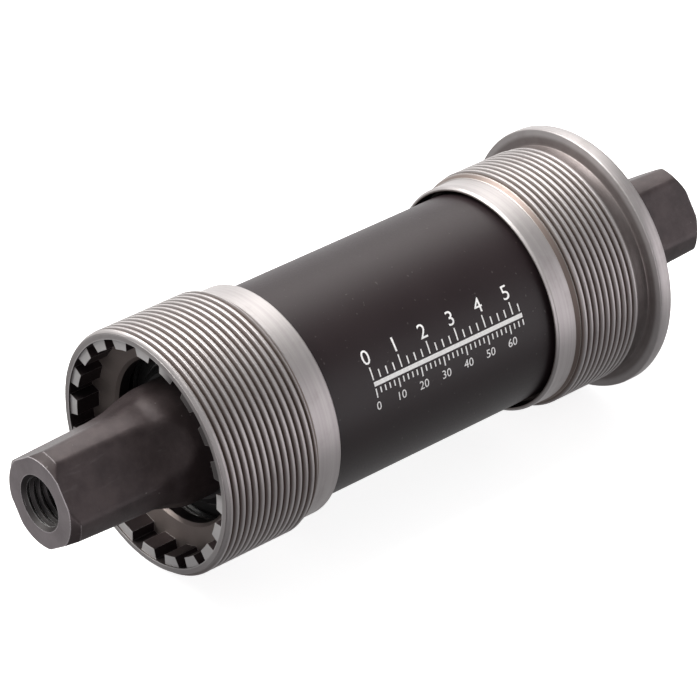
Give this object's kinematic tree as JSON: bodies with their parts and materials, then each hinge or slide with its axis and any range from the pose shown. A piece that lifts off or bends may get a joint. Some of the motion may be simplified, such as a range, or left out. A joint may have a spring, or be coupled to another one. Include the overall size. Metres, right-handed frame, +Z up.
{
  "type": "bottom bracket",
  "caption": "Sealed cartridge bottom bracket: square-taper spindle on two ball bearings in a dark tube, with a flanged threaded cup and a loose threaded cup.",
  "frame": {"origin": "middle of the spindle on its axis, which is also the middle of the bicycle frame's bottom bracket shell", "axes": "+Y along the spindle to the cyclist's left, out of the loose cup; +Z up; +X completes the right-handed frame"},
  "size_m": [0.0386, 0.113, 0.0386],
  "materials": {
    "spindle_steel": "dark phosphated forged and turned steel, slightly oily",
    "black_shell": "satin black lacquered steel tube",
    "cup_steel": "satin plated steel, dark in the thread roots",
    "plain_steel": "plain oiled steel",
    "bearing_steel": "ground bearing steel",
    "ball_steel": "polished",
    "cage_plastic": "natural moulded nylon",
    "seal_rubber": "black moulded rubber"
  },
  "bodies": {
    "housing": {"cartridge_shell": "black_shell", "drive_side_cup": "cup_steel", "left_outer_ring": "bearing_steel", "left_outer_seal": "seal_rubber", "left_inner_seal": "seal_rubber", "left_retaining_ring": "plain_steel", "right_outer_ring": "bearing_steel", "right_outer_seal": "seal_rubber", "right_inner_seal": "seal_rubber", "right_retaining_ring": "plain_steel"},
    "axle": {"spindle": "spindle_steel", "spacer_sleeve": "plain_steel", "left_inner_ring": "bearing_steel", "left_spindle_wiper": "seal_rubber", "right_inner_ring": "bearing_steel", "right_spindle_wiper": "seal_rubber"},
    "left_ball_set": {"left_balls": "ball_steel", "left_ball_cage": "cage_plastic"},
    "right_ball_set": {"right_balls": "ball_steel", "right_ball_cage": "cage_plastic"},
    "loose_cup": {"non_drive_cup": "cup_steel"}
  },
  "joints": [
    {"name": "spindle_spin", "type": "hinge", "parent": "housing", "child": "axle", "pos_m": [0, 0, 0], "axis": [0, 1, 0], "continuous": true},
    {"name": "left_ball_set_spin", "type": "hinge", "parent": "housing", "child": "left_ball_set", "pos_m": [0, 0.0278, 0], "axis": [0, 1, 0], "continuous": true},
    {"name": "right_ball_set_spin", "type": "hinge", "parent": "housing", "child": "right_ball_set", "pos_m": [0, -0.0274, 0], "axis": [0, 1, 0], "continuous": true},
    {"name": "loose_cup_slide", "type": "slide", "parent": "housing", "child": "loose_cup", "axis": [0, 1, 0], "range_m": [0, 0.038]}
  ],
  "couplings": [
    {"joint": "left_ball_set_spin", "follows": "spindle_spin", "ratio": 0.42944},
    {"joint": "right_ball_set_spin", "follows": "spindle_spin", "ratio": 0.42944}
  ]
}
